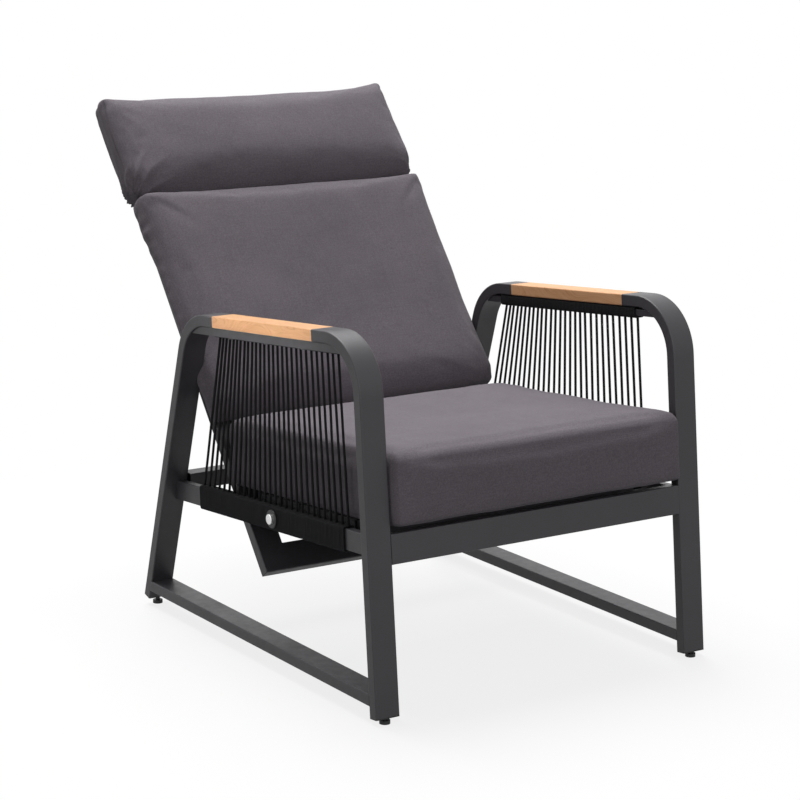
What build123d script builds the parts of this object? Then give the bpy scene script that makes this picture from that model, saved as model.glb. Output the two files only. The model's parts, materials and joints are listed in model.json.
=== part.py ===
from build123d import *
import math
import os

# Reclining garden armchair: two tube loops carry a sloping seat deck between rope panels,
# and the padded back turns on two bolts, held by a lockable gas spring that a side button frees.
# Millimetres. While modelling, y = 0 is the front toe, +Y is the rear, z = 0 is the floor and
# x = 0 is the middle. Left and right are the sitter's, so left is +X. Every solid is moved
# at the end so that the origin is the middle of the box that the chair fills, on the floor.

# Side loops
overall_width = 680.0
loop_tube_width = 45.0
loop_tube_depth = 20.0
tube_wall = 2.0
tube_edge_radius = 2.0
loop_bend_radius = 90.0
front_leg_lean = 5.85
rear_leg_rake = 16.3
arm_slope = 5.36
front_end_height = 11.7
rear_end_height = 17.6
front_corner_height = 614.4

# Wooden arm rests, the bar that carries them and their screws
arm_wood_start = 127.7
arm_wood_length = 327.5
arm_wood_rear = 96.61
arm_tenon_length = 28.0
arm_bar_width = 16.0
arm_bar_height = 13.5
arm_bar_gap = 1.0
arm_bar_inset = 4.0
arm_screw_radius = 2.5
arm_screw_bite = 9.0
arm_screw_head_radius = 4.6
arm_screw_head_height = 2.6
arm_screw_count = 3
arm_screw_margin = 45.0

# Floor runners, leg plugs and glides
runner_clearance = 28.4
runner_height = 20.0
plug_length = 14.0
plug_flange = 2.0
glide_radius = 9.0
glide_height = 6.0
glide_stem_radius = 4.0

# Seat deck: side rails, cross rails and crossbars
deck_slope = 4.3
deck_toe_height = 302.4
side_rail_height = 35.0
side_rail_width = 15.0
side_rail_inset = 3.0
side_rail_wall = 1.5
front_rail_height = 50.0
front_rail_drop = 23.2
rear_rail_depth = 32.0
rear_rail_height = 30.0
rear_rail_drop = 1.1
rear_rail_forward = 9.0
crossbar_depth = 20.0
crossbar_height = 20.0
front_crossbar_place = 115.0
rear_crossbar_forward = 56.0
seat_tube = 20.0
seat_frame_side_gap = 10.4
seat_frame_front = 75.0
seat_frame_rear_gap = 27.0
seat_frame_front_radius = 100.0
seat_frame_rear_radius = 45.0
seat_frame_rise = 7.1
drain_hole_radius = 3.0
strap_width = 50.0
strap_thickness = 2.0
strap_fold = 16.0
seat_strap_count = 5

# Ropes: the upper rail, the winding on both rails and the upright cords
rope_diameter = 4.0
rope_count = 28
upper_rail_height = 12.0
upper_rail_drop = 4.5
upper_rail_wall = 1.5
upper_band_before = 35.4
upper_band_after = 37.2
lower_band_inset = 95.2
rope_bite = 2.0
rope_end_margin_top = 7.0
rope_end_margin_bottom = 2.5
rope_rear_spacing = 11.0
rope_round_share = 0.8

# Back frame, in its own plane through the pivot
back_tilt = 37.5
back_travel = 22.5
pivot_forward = 192.0
back_side_gap = 5.4
back_tube_width = 50.0
back_tube_depth = 20.0
back_below_pivot = 139.0
back_above_pivot = 806.0
back_strap_count = 6
back_strap_first = 85.0
back_strap_last = 700.0
back_strap_inset = 8.0
clamp_length = 44.0
clamp_width = 12.0
clamp_thickness = 2.0

# Back pivot
pivot_bolt_radius = 5.0
pivot_bolt_head_radius = 9.0
pivot_bolt_head_height = 6.0
pivot_boss_radius = 9.0
pivot_boss_gap = 0.4
pivot_bush_radius = 7.0
pivot_bush_length = 15.0
pivot_bush_flange_radius = 10.5
pivot_bush_flange = 1.2

# Gas spring and its two brackets
spring_anchor_reach = 36.0
spring_pin_radius = 4.0
spring_pin_head = 3.0
spring_pin_head_radius = 6.0
spring_eye_radius = 9.0
spring_eye_width = 9.0
spring_body_radius = 11.0
spring_body_start = 20.0
spring_body_length = 165.0
spring_bore_radius = 9.0
spring_end_thickness = 8.0
spring_rod_radius = 4.0
spring_piston_length = 10.0
spring_piston_place = 62.0
rod_eye_radius = 10.0
rod_eye_bore_radius = 6.2
bracket_plate = 3.0
bracket_half_gap = 6.0
bracket_edge_radius = 9.0
back_pin_below = 98.0
back_pin_forward = 28.0

# Release button on the right side rail
button_place = 361.5
button_radius = 9.0
button_length = 13.0
button_travel = 3.5
button_left_proud = 1.1
button_stem_radius = 3.0
button_stem_length = 6.0
button_edge = 1.0
bezel_radius = 16.0
bezel_thickness = 3.0
housing_radius = 12.0
housing_floor = 1.5
housing_depth = 14.0

# Cushions
seat_cushion_gap = 0.5
seat_cushion_front = 12.0
seat_cushion_edge = 124.0
seat_cushion_crown = 3.0
seat_cushion_side_gap = 4.5
seat_cushion_back_gap = 7.0
seat_cushion_round = 18.0
back_cushion_gap = 0.4
back_cushion_start = 155.0
back_cushion_end = 606.0
back_cushion_edge = 40.0
back_cushion_crown = 12.0
back_cushion_widening = 8.0
back_cushion_round = 24.0
headrest_gap = 2.0
headrest_end = 823.0
headrest_rear = 33.0
headrest_low_front = 52.0
headrest_high_front = 36.0
headrest_crown = 9.0
headrest_side_cover = 13.0
headrest_round = 20.0
cushion_bulge = 2.0
cushion_end_draw = 12.0
# For each cushion: the places of its sections along its length and the thickness of each
seat_place_shares = [0, 0.004, 0.012, 0.028, 0.06, 0.9, 0.97, 1]
seat_depth_shares = [0.72, 0.84, 0.92, 0.97, 1, 1, 0.98, 0.94]
back_place_shares = [0, 0.015, 0.04, 0.08, 0.13, 0.5, 0.88, 0.94, 0.98, 1]
back_depth_shares = [0.35, 0.6, 0.8, 0.94, 1, 1, 1, 0.92, 0.72, 0.45]
headrest_place_shares = [0, 0.015, 0.045, 0.1, 0.18, 0.5, 0.8, 0.91, 0.97, 1]
headrest_depth_shares = [0.5, 0.7, 0.85, 0.96, 1, 1, 1, 0.92, 0.76, 0.55]
# How much of the headrest's thickness lost towards its ends is taken from the rear
headrest_root_share = 0.4

# Fits
weld_gap = 0.1
slip = 0.05
soft_gap = 0.3
overrun = 5.0


def unit(degrees):
    """Sine and cosine of an angle in degrees."""
    return math.sin(math.radians(degrees)), math.cos(math.radians(degrees))


lean_sin, lean_cos = unit(front_leg_lean)
rake_sin, rake_cos = unit(rear_leg_rake)
arm_sin, arm_cos = unit(arm_slope)
deck_sin, deck_cos = unit(deck_slope)
tilt_sin, tilt_cos = unit(back_tilt)

half_width = overall_width / 2
loop_x = half_width - loop_tube_width / 2
loop_inner = half_width - loop_tube_width
arm_length = arm_wood_start + arm_wood_length + arm_wood_rear

# Centreline of a loop
front_end = Vector(loop_x, loop_tube_depth / 2, front_end_height)
front_corner = Vector(
    loop_x,
    front_end.Y + (front_corner_height - front_end_height) * lean_sin / lean_cos,
    front_corner_height,
)
rear_corner = Vector(
    loop_x,
    front_corner.Y + arm_length * arm_cos,
    front_corner.Z - arm_length * arm_sin,
)
rear_end = Vector(
    loop_x,
    rear_corner.Y + (rear_corner.Z - rear_end_height) * rake_sin / rake_cos,
    rear_end_height,
)

arm_direction = Vector(0, arm_cos, -arm_sin)
# Origin at the loop's front corner, local x across, y down through the arm, z to the rear
arm_plane = Plane(origin=(0, front_corner.Y, front_corner.Z), x_dir=(1, 0, 0), z_dir=arm_direction)
# Local x across, y up the front leg, z forward
leg_plane = Plane(
    origin=(0, front_end.Y, front_end.Z), x_dir=(1, 0, 0), z_dir=(0, -lean_cos, lean_sin)
)
# Local x across, y along the side rails to the rear, z = 0 on the rails' top face
deck_plane = Plane(origin=(0, 0, deck_toe_height), x_dir=(1, 0, 0), z_dir=(0, deck_sin, deck_cos))


def deck_crossing(foot, way):
    """Distance along the side rails at which a leg's centreline crosses their top face."""
    run = (deck_plane.origin - foot).dot(deck_plane.z_dir) / way.dot(deck_plane.z_dir)
    return deck_plane.to_local_coords(foot + way * run).Y


rail_front = deck_crossing(front_end, Vector(0, lean_sin, lean_cos))
rail_rear = deck_crossing(rear_end, Vector(0, -rake_sin, rake_cos))
front_rail_place = (deck_toe_height - front_end_height) / lean_cos - front_rail_drop
rear_rail_place = deck_plane.from_local_coords((0, rail_rear, 0)).Z - rear_rail_drop
pivot_place = rail_rear - pivot_forward
seat_frame_rear = pivot_place - seat_frame_rear_gap
rear_crossbar_place = pivot_place - rear_crossbar_forward
lower_band_start = rail_front + lower_band_inset
lower_band_end = rail_rear - lower_band_inset
upper_band_start = arm_wood_start - upper_band_before
upper_band_end = arm_wood_start + arm_wood_length + upper_band_after
pivot = deck_plane.from_local_coords((0, pivot_place, -side_rail_height / 2))
# Local x across, y up the back, z forward out of the back
back_plane = Plane(origin=pivot, x_dir=(1, 0, 0), z_dir=(0, -tilt_cos, tilt_sin))

side_rail_outer = loop_x - side_rail_inset
side_rail_inner = side_rail_outer - side_rail_width
rope_x = side_rail_outer - side_rail_width / 2
wrap_cover = weld_gap + rope_diameter
wrap_half = side_rail_width / 2 + wrap_cover
wrap_inner = side_rail_inner - wrap_cover
seat_tube_floor = seat_frame_rise - seat_tube
seat_frame_half_width = wrap_inner - seat_frame_side_gap
back_half_width = wrap_inner - back_side_gap
strap_face = back_tube_depth / 2 + strap_thickness + clamp_thickness


def block(low, high):
    """A box between two corners."""
    size = Vector(*high) - Vector(*low)
    centre = (Vector(*high) + Vector(*low)) * (1 / 2)
    return Pos(centre) * Box(size.X, size.Y, size.Z)


def rod_between(start, end, radius):
    """A round bar from one point to another."""
    start = Vector(*start)
    run = Vector(*end) - start
    bottom = (Align.CENTER, Align.CENTER, Align.MIN)
    return Plane(origin=start, z_dir=run) * Cylinder(radius, run.length, align=bottom)


def rounded_bar(low, high, radius, axis):
    """A box between two corners with the four edges along one axis rounded."""
    bar = block(low, high)
    return fillet(bar.edges().filter_by(axis), radius)


def tube_bar(low, high, wall, radius, axis):
    """A straight tube between two corners, open at both ends of one axis."""
    along = Vector(axis.direction)
    side = Vector(1, 1, 1) - along
    inset = side * wall - along * overrun
    inner_low = Vector(*low) + inset
    inner_high = Vector(*high) - inset
    return rounded_bar(low, high, radius, axis) - block(inner_low, inner_high)


def mirrored(shape):
    """The same piece on the sitter's right."""
    return mirror(shape, about=Plane.YZ)


def loop_section(width, depth, radius, wall=0):
    """Section of a loop tube, solid where no wall is given."""
    section = RectangleRounded(width, depth, radius)
    if wall:
        section -= Rectangle(width - 2 * wall, depth - 2 * wall)
    return section


def sweep_loop(points, radii, section):
    """Sweep a loop section along straight runs joined by bends."""
    path = FilletPolyline(*points, radius=radii)
    start = Plane(origin=path @ 0, x_dir=(1, 0, 0), z_dir=path % 0)
    return sweep(start * section, path=path)


def loop_envelope(clearance):
    """The whole loop as a solid bar, a clearance larger all round, to trim what meets it."""
    section = loop_section(
        loop_tube_width + 2 * clearance, loop_tube_depth + 2 * clearance, tube_edge_radius
    )
    points = [front_end, front_corner, rear_corner, rear_end]
    return sweep_loop(points, loop_bend_radius, section)


def main_solid(shape):
    """The largest solid of a cut shape."""
    return max(shape.solids(), key=lambda solid: solid.volume)


def make_front_leg():
    """Front leg with its bend and the stub that takes the arm rest."""
    stub_end = arm_plane.from_local_coords((loop_x, 0, arm_wood_start))
    section = loop_section(loop_tube_width, loop_tube_depth, tube_edge_radius, tube_wall)
    return sweep_loop([front_end, front_corner, stub_end], loop_bend_radius, section)


def make_rear_leg():
    """Rear leg with its bend and the stub that takes the arm rest."""
    stub_end = arm_plane.from_local_coords((loop_x, 0, arm_wood_start + arm_wood_length))
    section = loop_section(loop_tube_width, loop_tube_depth, tube_edge_radius, tube_wall)
    return sweep_loop([rear_end, rear_corner, stub_end], loop_bend_radius, section)


def make_runner():
    """Tube near the floor between the legs of one side, its ends cut to the legs."""
    low = (loop_inner, front_end.Y, runner_clearance)
    high = (half_width, rear_end.Y, runner_clearance + runner_height)
    tube = tube_bar(low, high, tube_wall, tube_edge_radius, Axis.Y)
    return main_solid(tube - loop_envelope(0))


def screw_places():
    """Distances along the arm of the screws that hold the arm rest."""
    run = arm_wood_length - 2 * arm_screw_margin
    step = run / (arm_screw_count - 1)
    return [arm_wood_start + arm_screw_margin + step * i for i in range(arm_screw_count)]


def arm_bar_span():
    """Lowest and highest local x and y of the bar under the arm rest."""
    x_high = half_width - arm_bar_inset
    y_low = loop_tube_depth / 2 + arm_bar_gap
    return x_high - arm_bar_width, x_high, y_low, y_low + arm_bar_height


def make_arm_rest():
    """Wooden arm rest with a tenon in each stub and blind holes for its screws."""
    half_x = loop_tube_width / 2
    half_y = loop_tube_depth / 2
    end = arm_wood_start + arm_wood_length
    wood = rounded_bar(
        (loop_x - half_x, -half_y, arm_wood_start),
        (loop_x + half_x, half_y, end),
        tube_edge_radius,
        Axis.Z,
    )
    tenon_x = half_x - tube_wall - weld_gap
    tenon_y = half_y - tube_wall - weld_gap
    wood += block(
        (loop_x - tenon_x, -tenon_y, arm_wood_start - arm_tenon_length),
        (loop_x + tenon_x, tenon_y, end + arm_tenon_length),
    )
    x_low, x_high, y_low, y_high = arm_bar_span()
    x = (x_low + x_high) / 2
    for place in screw_places():
        bite = arm_screw_bite + slip
        wood -= rod_between((x, half_y - bite, place), (x, half_y, place), arm_screw_radius + slip)
    return arm_plane * wood


def make_arm_bar():
    """Flat bar under the arm rest, its ends cut to the bends, drilled for the screws."""
    x_low, x_high, y_low, y_high = arm_bar_span()
    bar = block((x_low, y_low, 0), (x_high, y_high, arm_length))
    x = (x_low + x_high) / 2
    for place in screw_places():
        low = (x, y_low - overrun, place)
        high = (x, y_high + overrun, place)
        bar -= rod_between(low, high, arm_screw_radius + slip)
    return main_solid(arm_plane * bar - loop_envelope(weld_gap))


def make_arm_screws():
    """Screws up through the bar into the wood, one side."""
    x_low, x_high, y_low, y_high = arm_bar_span()
    x = (x_low + x_high) / 2
    top = loop_tube_depth / 2 - arm_screw_bite
    screws = []
    for place in screw_places():
        shank = rod_between((x, top, place), (x, y_high, place), arm_screw_radius)
        foot = (x, y_high + arm_screw_head_height, place)
        head = rod_between((x, y_high, place), foot, arm_screw_head_radius)
        screws.append(arm_plane * (shank + head))
    return screws


def plug_and_glide(end_plane, ground_point):
    """Plug that closes a leg, and the glide whose stem stands in it."""
    insert_x = loop_tube_width / 2 - tube_wall - weld_gap
    insert_y = loop_tube_depth / 2 - tube_wall - weld_gap
    insert = block((-insert_x, -insert_y, 0), (insert_x, insert_y, plug_length))
    flange = rounded_bar(
        (-loop_tube_width / 2, -loop_tube_depth / 2, -plug_flange),
        (loop_tube_width / 2, loop_tube_depth / 2, 0),
        tube_edge_radius,
        Axis.Z,
    )
    x, y = ground_point.X, ground_point.Y
    top = ground_point.Z + plug_length / 2
    hole_top = (x, y, ground_point.Z + plug_length + overrun)
    plug = end_plane * (insert + flange)
    plug -= rod_between((x, y, 0), hole_top, glide_stem_radius + slip)
    pad = rod_between((x, y, 0), (x, y, glide_height), glide_radius)
    stem = rod_between((x, y, glide_height), (x, y, top), glide_stem_radius)
    return plug, pad + stem


def make_feet():
    """Plugs and glides of the two legs of one side."""
    front = Plane(origin=front_end, x_dir=(1, 0, 0), z_dir=(0, lean_sin, lean_cos))
    rear = Plane(origin=rear_end, x_dir=(1, 0, 0), z_dir=(0, -rake_sin, rake_cos))
    pairs = [plug_and_glide(front, front_end), plug_and_glide(rear, rear_end)]
    return [pair[0] for pair in pairs], [pair[1] for pair in pairs]


def pivot_hole(radius, x_low, x_high):
    """A cutter on the pivot's axis, on the left side."""
    return rod_between((x_low, pivot.Y, pivot.Z), (x_high, pivot.Y, pivot.Z), radius)


def make_side_rail():
    """Lower rope rail between the legs, open inside, with the hole for the pivot boss."""
    low = (side_rail_inner, 0, -side_rail_height)
    high = (side_rail_outer, rear_end.Y, 0)
    rail = deck_plane * tube_bar(low, high, side_rail_wall, side_rail_wall, Axis.Y)
    rail = main_solid(rail - loop_envelope(0))
    inner_wall = side_rail_inner + 2 * side_rail_wall
    return rail - pivot_hole(pivot_boss_radius + slip, side_rail_inner - overrun, inner_wall)


def make_upper_rail():
    """Upper rope rail under the arm, its ends cut to the bends."""
    y_low = loop_tube_depth / 2 + upper_rail_drop
    low = (side_rail_inner, y_low, 0)
    high = (side_rail_outer, y_low + upper_rail_height, arm_length)
    rail = arm_plane * tube_bar(low, high, upper_rail_wall, upper_rail_wall, Axis.Z)
    return main_solid(rail - loop_envelope(weld_gap))


def rope_places():
    """Distances of the cords along the upper and the lower rail, rear to front."""
    top_run = upper_band_end - upper_band_start - 2 * rope_end_margin_top
    bottom_run = lower_band_end - lower_band_start - 2 * rope_end_margin_bottom
    gaps = rope_count - 1
    growth = (top_run - rope_rear_spacing * gaps) * 2 / gaps**2
    places = []
    for i in range(rope_count):
        top = upper_band_end - rope_end_margin_top - rope_rear_spacing * i - growth * i**2 / 2
        bottom = lower_band_end - rope_end_margin_bottom - bottom_run * i / gaps
        places.append((top, bottom))
    return places


def make_rope_panel():
    """One rope of a side: the winding on both rails and the cords between them."""
    cover = wrap_cover
    arm_floor = loop_tube_depth / 2 + upper_rail_drop
    band_low = arm_floor + upper_rail_height + cover
    upper = rounded_bar(
        (rope_x - wrap_half, arm_floor - cover, upper_band_start),
        (rope_x + wrap_half, band_low, upper_band_end),
        rope_diameter * rope_round_share,
        Axis.Z,
    )
    upper -= block(
        (side_rail_inner - weld_gap, arm_floor - weld_gap, 0),
        (side_rail_outer + weld_gap, arm_floor + upper_rail_height + weld_gap, arm_length),
    )
    lower = rounded_bar(
        (rope_x - wrap_half, lower_band_start, -side_rail_height - cover),
        (rope_x + wrap_half, lower_band_end, cover),
        rope_diameter * rope_round_share,
        Axis.Y,
    )
    lower -= block(
        (side_rail_inner - weld_gap, 0, -side_rail_height - weld_gap),
        (side_rail_outer + weld_gap, rear_end.Y, weld_gap),
    )
    panel = arm_plane * upper - loop_envelope(soft_gap) + deck_plane * lower
    cords = []
    for top, bottom in rope_places():
        high = arm_plane.from_local_coords((rope_x, band_low, top))
        low = deck_plane.from_local_coords((rope_x, bottom, cover))
        bite = (high - low).normalized() * rope_bite
        cords.append(rod_between(low - bite, high + bite, rope_diameter / 2))
    panel = panel + cords
    boss_cut = pivot_boss_radius + soft_gap
    panel -= pivot_hole(boss_cut, side_rail_inner - cover - overrun, side_rail_inner)
    reach = crossbar_depth / 2 + soft_gap
    roof = seat_tube_floor + soft_gap
    floor = seat_tube_floor - crossbar_height - soft_gap
    panel -= deck_plane * block(
        (side_rail_inner - cover - overrun, rear_crossbar_place - reach, floor),
        (side_rail_inner, rear_crossbar_place + reach, roof),
    )
    return main_solid(panel)


def make_front_rail():
    """Flat tube across the front, flush with the legs."""
    half = front_rail_height / 2
    low = (-loop_inner, front_rail_place - half, -loop_tube_depth / 2)
    high = (loop_inner, front_rail_place + half, loop_tube_depth / 2)
    return leg_plane * tube_bar(low, high, tube_wall, tube_edge_radius, Axis.X)


def make_rear_rail():
    """Tube across the rear, between the inner faces of the rear legs."""
    leg_y = rear_end.Y - (rear_rail_place - rear_end.Z) * rake_sin / rake_cos
    y = leg_y - rear_rail_forward
    low = (-loop_inner, y - rear_rail_depth / 2, rear_rail_place - rear_rail_height / 2)
    high = (loop_inner, y + rear_rail_depth / 2, rear_rail_place + rear_rail_height / 2)
    return tube_bar(low, high, tube_wall, tube_edge_radius, Axis.X)


def make_crossbar(place):
    """Tube between the side rails that carries the seat frame."""
    low = (-side_rail_inner, place - crossbar_depth / 2, seat_tube_floor - crossbar_height)
    high = (side_rail_inner, place + crossbar_depth / 2, seat_tube_floor)
    return deck_plane * tube_bar(low, high, tube_wall, tube_edge_radius, Axis.X)


def seat_ring(inset):
    """Outline of the seat frame, moved in by an inset."""
    half = seat_frame_half_width - inset
    front = seat_frame_front + inset
    rear = seat_frame_rear - inset
    radii = [seat_frame_front_radius - inset] * 2 + [seat_frame_rear_radius - inset] * 2
    corners = [(-half, front), (half, front), (half, rear), (-half, rear)]
    return make_face(FilletPolyline(*corners, radius=radii, close=True))


def make_seat_frame():
    """Bent tube ring under the seat cushion, with a drain hole at its low rear."""
    ring = extrude(seat_ring(0) - seat_ring(seat_tube), amount=seat_tube)
    inside = seat_ring(tube_wall) - seat_ring(seat_tube - tube_wall)
    hollow = extrude(inside, amount=seat_tube - 2 * tube_wall)
    ring -= Pos(0, 0, tube_wall) * hollow
    drain = rod_between(
        (0, seat_frame_rear - seat_tube / 2, -overrun),
        (0, seat_frame_rear - seat_tube / 2, tube_wall + weld_gap),
        drain_hole_radius,
    )
    return deck_plane * (Pos(0, 0, seat_tube_floor) * (ring - drain))


def make_seat_straps():
    """Webbing across the seat frame, folded round its side tubes."""
    first = front_crossbar_place + crossbar_depth / 2 + strap_width
    last = rear_crossbar_place - crossbar_depth / 2 - strap_width
    step = (last - first) / (seat_strap_count - 1)
    top = seat_frame_rise
    outer = seat_frame_half_width + strap_thickness
    fold = seat_frame_half_width - strap_fold
    straps = []
    for i in range(seat_strap_count):
        low = first + step * i - strap_width / 2
        high = low + strap_width
        strap = block((-outer, low, top), (outer, high, top + strap_thickness))
        for side in (-1, 1):
            wall = sorted((side * seat_frame_half_width, side * outer))
            hem = sorted((side * fold, side * outer))
            floor = seat_tube_floor - strap_thickness
            strap += block((wall[0], low, floor), (wall[1], high, top))
            strap += block((hem[0], low, floor), (hem[1], high, seat_tube_floor))
        straps.append(deck_plane * strap)
    return straps


def mitred_tube(corners, inner_corners, axis):
    """Tube of the back frame between two mitres, open at both."""
    tube = extrude(make_face(Polyline(*corners, close=True)), amount=back_tube_depth)
    tube = Pos(0, 0, -back_tube_depth / 2) * tube
    tube = fillet(tube.edges().filter_by(axis), tube_edge_radius)
    bore_depth = back_tube_depth - 2 * tube_wall
    bore = extrude(make_face(Polyline(*inner_corners, close=True)), amount=bore_depth)
    return tube - Pos(0, 0, -bore_depth / 2) * bore


def back_rectangle(inset):
    """Half width, lowest and highest point of the back frame, moved in by an inset."""
    return back_half_width - inset, inset - back_below_pivot, back_above_pivot - inset


def make_back_stile():
    """Side tube of the back frame, drilled for the pivot bushes."""

    def outline(near, far):
        x_out, low_out, high_out = back_rectangle(near)
        x_in, low_in, high_in = back_rectangle(far)
        return [(x_out, low_out), (x_in, low_in), (x_in, high_in), (x_out, high_out)]

    corners = outline(0, back_tube_width)
    bore = outline(tube_wall, back_tube_width - tube_wall)
    stile = mitred_tube(corners, bore, Axis.Y)
    x_low = back_half_width - back_tube_width - overrun
    x_high = back_half_width + overrun
    stile -= rod_between((x_low, 0, 0), (x_high, 0, 0), pivot_bush_radius + slip)
    return back_plane * stile


def make_back_cross_tube(top):
    """Top or bottom tube of the back frame."""

    def outline(near, far):
        x_out, low_out, high_out = back_rectangle(near)
        x_in, low_in, high_in = back_rectangle(far)
        y_out, y_in = (high_out, high_in) if top else (low_out, low_in)
        return [(-x_out, y_out), (-x_in, y_in), (x_in, y_in), (x_out, y_out)]

    corners = outline(0, back_tube_width)
    bore = outline(tube_wall, back_tube_width - tube_wall)
    return back_plane * mitred_tube(corners, bore, Axis.X)


def back_strap_places():
    """Distances up the back of the straps' middles."""
    step = (back_strap_last - back_strap_first) / (back_strap_count - 1)
    return [back_strap_first + step * i for i in range(back_strap_count)]


def make_back_straps():
    """Webbing across the front of the back frame, and the clamps on its ends."""
    face = back_tube_depth / 2
    strap_end = back_half_width - back_strap_inset
    straps = []
    clamps = []
    for place in back_strap_places():
        low = (-strap_end, place - strap_width / 2, face)
        high = (strap_end, place + strap_width / 2, face + strap_thickness)
        straps.append(back_plane * block(low, high))
        for side in (-1, 1):
            x = side * (strap_end - clamp_width)
            base = face + strap_thickness
            clamps.append(back_plane * block(
                (x - clamp_width / 2, place - clamp_length / 2, base),
                (x + clamp_width / 2, place + clamp_length / 2, base + clamp_thickness),
            ))
    return straps, clamps


def make_pivot_boss():
    """Threaded boss in the side rail."""
    start = back_half_width + pivot_bush_flange + pivot_boss_gap
    end = side_rail_outer - side_rail_wall - weld_gap
    boss = pivot_hole(pivot_boss_radius, start, end)
    return boss - pivot_hole(pivot_bolt_radius + slip, start - overrun, end - side_rail_wall)


def make_pivot_bolt():
    """Bolt through the stile into the boss, with its head inside the frame."""
    head_face = back_half_width - back_tube_width - pivot_bush_flange - soft_gap
    shank_end = side_rail_outer - 2 * side_rail_wall - side_rail_width / 4
    shank = pivot_hole(pivot_bolt_radius, head_face, shank_end)
    head = pivot_hole(pivot_bolt_head_radius, head_face - pivot_bolt_head_height, head_face)
    edge = head.edges().filter_by(GeomType.CIRCLE).sort_by(Axis.X)[0]
    return shank + fillet(edge, pivot_bolt_head_height / 4)


def make_pivot_bushes():
    """Flanged bushes in both walls of the stile."""
    bushes = []
    for wall, way in ((back_half_width, -1), (back_half_width - back_tube_width, 1)):
        sleeve = sorted((wall, wall + way * pivot_bush_length))
        flange = sorted((wall, wall - way * pivot_bush_flange))
        bush = pivot_hole(pivot_bush_radius, *sleeve)
        bush += pivot_hole(pivot_bush_flange_radius, *flange)
        span = (sleeve[0] + flange[0] - wall - overrun, sleeve[1] + flange[1] - wall + overrun)
        bushes.append(bush - pivot_hole(pivot_bolt_radius + slip, *span))
    return bushes


# Gas spring: front eye on the front crossbar, rod eye on the back frame's bottom tube
spring_anchor = deck_plane.from_local_coords(
    (0, front_crossbar_place + spring_anchor_reach, seat_tube_floor - crossbar_height / 2)
)
back_pin = back_plane.from_local_coords((0, -back_pin_below, back_pin_forward))
spring_length = (back_pin - spring_anchor).length
spring_plane = Plane(origin=spring_anchor, x_dir=(1, 0, 0), z_dir=back_pin - spring_anchor)


def cross_pin(point, half_length, radius):
    """A bar across the chair through a point."""
    x, y, z = point
    return rod_between((x - half_length, y, z), (x + half_length, y, z), radius)


def make_pin(point):
    """Headed clevis pin through a bracket."""
    half = bracket_half_gap + bracket_plate + slip
    pin = cross_pin(point, half + spring_pin_head, spring_pin_radius)
    x, y, z = point
    for side in (-1, 1):
        span = sorted((side * half, side * (half + spring_pin_head)))
        pin += rod_between((span[0], y, z), (span[1], y, z), spring_pin_head_radius)
    return pin


def bracket(plane, foot, point):
    """Two plates with a rounded eye, standing on a flat face of the plane that is given."""
    low, high, base = foot
    centre = plane.to_local_coords(point)
    half = bracket_half_gap + bracket_plate + overrun
    plates = []
    for side in (-1, 1):
        span = sorted((side * bracket_half_gap, side * (bracket_half_gap + bracket_plate)))
        eye = rod_between(
            (span[0], centre.Y, centre.Z), (span[1], centre.Y, centre.Z), bracket_edge_radius
        )
        arm_points = [
            (low, base),
            (high, base),
            (centre.Y + bracket_edge_radius, centre.Z),
            (centre.Y - bracket_edge_radius, centre.Z),
        ]
        face = make_face(Polyline(*arm_points, close=True))
        arm = extrude(Plane.YZ.offset(span[0]) * face, amount=bracket_plate)
        hole = spring_pin_radius + slip
        plate = eye + arm - cross_pin((0, centre.Y, centre.Z), half, hole)
        plates.append(plane * plate)
    return plates


def make_front_bracket():
    """Bracket on the rear face of the front crossbar."""
    face = front_crossbar_place + crossbar_depth / 2
    origin = deck_plane.from_local_coords((0, face, seat_tube_floor - crossbar_height / 2))
    plane = Plane(origin=origin, x_dir=(1, 0, 0), z_dir=deck_plane.y_dir)
    half = crossbar_height / 2
    return bracket(plane, (-half, half, 0), spring_anchor)


def make_back_bracket():
    """Bracket on the front face of the back frame's bottom tube."""
    low = -back_below_pivot + back_tube_width / 4
    high = -back_below_pivot + back_tube_width - tube_edge_radius
    return bracket(back_plane, (low, high, back_tube_depth / 2), back_pin)


def make_spring_cylinder():
    """Cylinder with its eye, open at the gland for the rod."""
    bottom = (Align.CENTER, Align.CENTER, Align.MIN)
    eye = cross_pin((0, 0, 0), spring_eye_width / 2, spring_eye_radius)
    neck_half = spring_eye_width / 2
    neck = block((-neck_half, -neck_half, 0), (neck_half, neck_half, spring_body_start + slip))
    body = Pos(0, 0, spring_body_start) * Cylinder(
        spring_body_radius, spring_body_length, align=bottom
    )
    bore_length = spring_body_length - 2 * spring_end_thickness
    bore = Pos(0, 0, spring_body_start + spring_end_thickness) * Cylinder(
        spring_bore_radius, bore_length, align=bottom
    )
    gland_start = spring_body_start + spring_body_length - spring_end_thickness - overrun
    gland = Pos(0, 0, gland_start) * Cylinder(
        spring_rod_radius + slip, spring_end_thickness + 2 * overrun, align=bottom
    )
    hole = cross_pin((0, 0, 0), spring_eye_width, spring_pin_radius + slip)
    return spring_plane * (eye + neck + body - bore - gland - hole)


def make_spring_rod():
    """Piston rod; its eye is the linkage's open pivot, with room round the pin."""
    bottom = (Align.CENTER, Align.CENTER, Align.MIN)
    piston_start = spring_body_start + spring_piston_place
    piston = Pos(0, 0, piston_start) * Cylinder(
        spring_bore_radius - weld_gap, spring_piston_length, align=bottom
    )
    rod_end = spring_length - (rod_eye_radius + rod_eye_bore_radius) / 2
    rod = Pos(0, 0, piston_start) * Cylinder(
        spring_rod_radius, rod_end - piston_start, align=bottom
    )
    eye = cross_pin((0, 0, spring_length), spring_eye_width / 2, rod_eye_radius)
    hole = cross_pin((0, 0, spring_length), spring_eye_width, rod_eye_bore_radius)
    return spring_plane * (piston + rod + eye - hole)


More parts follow.
